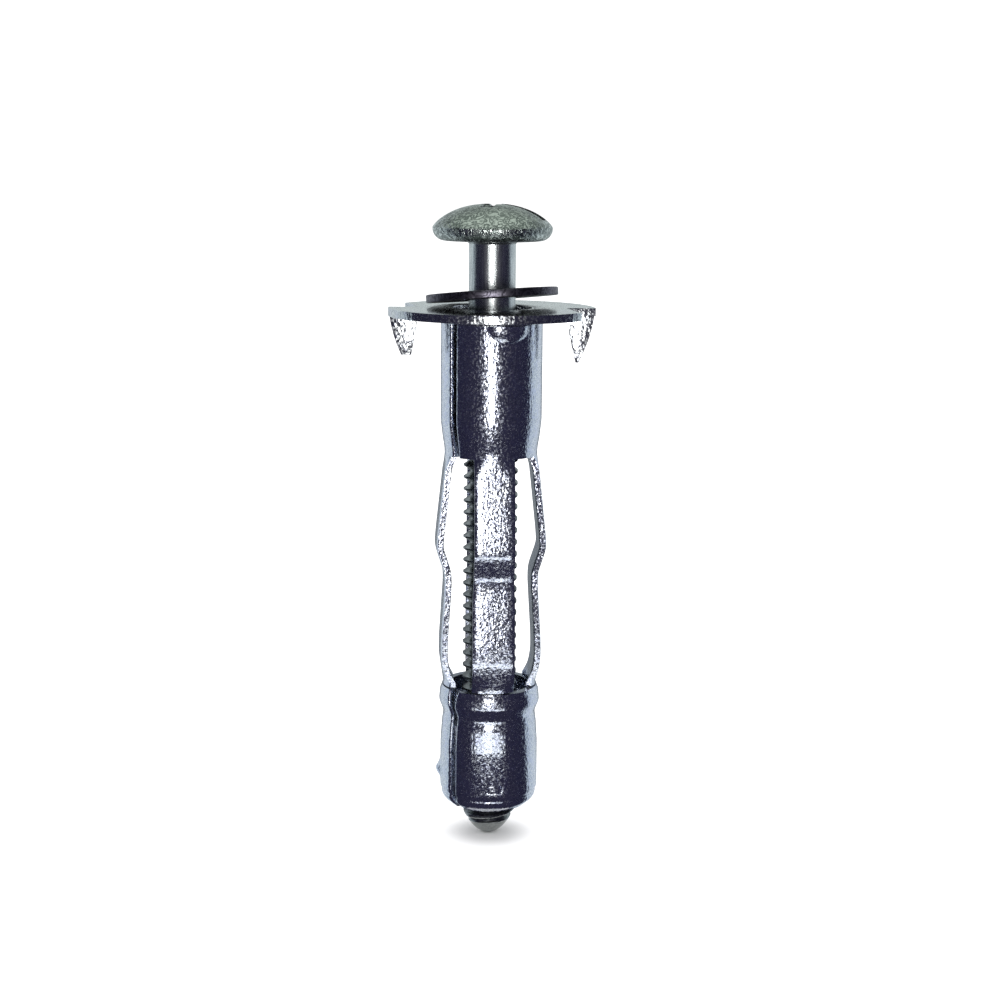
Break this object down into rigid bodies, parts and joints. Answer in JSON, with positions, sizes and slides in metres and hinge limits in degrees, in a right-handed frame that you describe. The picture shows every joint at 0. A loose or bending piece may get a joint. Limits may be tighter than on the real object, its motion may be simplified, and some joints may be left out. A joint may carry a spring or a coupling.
{
  "type": "hollow wall anchor",
  "caption": "Metal hollow-wall anchor: a mushroom-head machine screw in a slotted sleeve whose legs fold out behind a board, with a pronged flange plate and a loose washer.",
  "frame": {"origin": "on the screw's axis at the underside of the flange plate, the face that lies on the wall", "axes": "+Z out of the wall along the screw's axis, towards the screw's head; -Y is the front, +X the right"},
  "size_m": [0.0178, 0.0178, 0.0561],
  "materials": {
    "screw_zinc": "zinc plated, satin, with fine scratches",
    "washer_steel": "dull dark steel",
    "plate_zinc": "bright zinc plated, pressed",
    "sleeve_zinc": "bright bluish zinc plating with a fine speckled grain",
    "nut_zinc": "zinc plated"
  },
  "bodies": {
    "sleeve_top": {"flange_plate": "plate_zinc", "sleeve_tube": "sleeve_zinc"},
    "washer": {"washer": "washer_steel"},
    "screw": {"screw": "screw_zinc"},
    "barrel": {"sleeve_barrel": "sleeve_zinc", "nut": "nut_zinc"},
    "upper_leg_front": {"upper_leg_front": "sleeve_zinc"},
    "lower_leg_front": {"lower_leg_front": "sleeve_zinc"},
    "upper_leg_right": {"upper_leg_right": "sleeve_zinc"},
    "lower_leg_right": {"lower_leg_right": "sleeve_zinc"},
    "upper_leg_back": {"upper_leg_back": "sleeve_zinc"},
    "lower_leg_back": {"lower_leg_back": "sleeve_zinc"},
    "upper_leg_left": {"upper_leg_left": "sleeve_zinc"},
    "lower_leg_left": {"lower_leg_left": "sleeve_zinc"}
  },
  "joints": [
    {"name": "leg_fold_front", "type": "hinge", "parent": "sleeve_top", "child": "upper_leg_front", "pos_m": [0.00036, -0.00378, -0.0129], "axis": [-0.9954, -0.0958, 0], "range_deg": [0, 76.33]},
    {"name": "knee_front", "type": "hinge", "parent": "upper_leg_front", "child": "lower_leg_front", "pos_m": [0.00036, -0.00378, -0.0226], "axis": [-0.9954, -0.0958, 0], "range_deg": [-152.68, 0]},
    {"name": "barrel_fold", "type": "hinge", "parent": "lower_leg_front", "child": "barrel", "pos_m": [0.00036, -0.00378, -0.0323], "axis": [-0.9954, -0.0958, 0], "range_deg": [0, 76.33]},
    {"name": "leg_fold_right", "type": "hinge", "parent": "sleeve_top", "child": "upper_leg_right", "pos_m": [0.00378, 0.00036, -0.0129], "axis": [0.0958, -0.9954, 0], "range_deg": [0, 76.33]},
    {"name": "knee_right", "type": "hinge", "parent": "upper_leg_right", "child": "lower_leg_right", "pos_m": [0.00378, 0.00036, -0.0226], "axis": [0.0958, -0.9954, 0], "range_deg": [-152.68, 0]},
    {"name": "leg_fold_back", "type": "hinge", "parent": "sleeve_top", "child": "upper_leg_back", "pos_m": [-0.00036, 0.00378, -0.0129], "axis": [0.9954, 0.0958, 0], "range_deg": [0, 76.33]},
    {"name": "knee_back", "type": "hinge", "parent": "upper_leg_back", "child": "lower_leg_back", "pos_m": [-0.00036, 0.00378, -0.0226], "axis": [0.9954, 0.0958, 0], "range_deg": [-152.68, 0]},
    {"name": "leg_fold_left", "type": "hinge", "parent": "sleeve_top", "child": "upper_leg_left", "pos_m": [-0.00378, -0.00036, -0.0129], "axis": [-0.0958, 0.9954, 0], "range_deg": [0, 76.33]},
    {"name": "knee_left", "type": "hinge", "parent": "upper_leg_left", "child": "lower_leg_left", "pos_m": [-0.00378, -0.00036, -0.0226], "axis": [-0.0958, 0.9954, 0], "range_deg": [-152.68, 0]},
    {"name": "screw_turn", "type": "hinge", "parent": "sleeve_top", "child": "washer", "pos_m": [0, 0, 0], "axis": [0, 0, -1], "range_deg": [-3240, 1080]},
    {"name": "screw_travel", "type": "slide", "parent": "washer", "child": "screw", "axis": [0, 0, -1], "range_m": [-0.00952, 0.00317]}
  ],
  "couplings": [
    {"joint": "knee_front", "follows": "leg_fold_front", "ratio": -2},
    {"joint": "barrel_fold", "follows": "leg_fold_front", "ratio": 1},
    {"joint": "leg_fold_right", "follows": "leg_fold_front", "ratio": 1},
    {"joint": "knee_right", "follows": "leg_fold_front", "ratio": -2},
    {"joint": "leg_fold_back", "follows": "leg_fold_front", "ratio": 1},
    {"joint": "knee_back", "follows": "leg_fold_front", "ratio": -2},
    {"joint": "leg_fold_left", "follows": "leg_fold_front", "ratio": 1},
    {"joint": "knee_left", "follows": "leg_fold_front", "ratio": -2},
    {"joint": "screw_turn", "follows": "screw_travel", "rad_per_m": 5937.1}
  ]
}
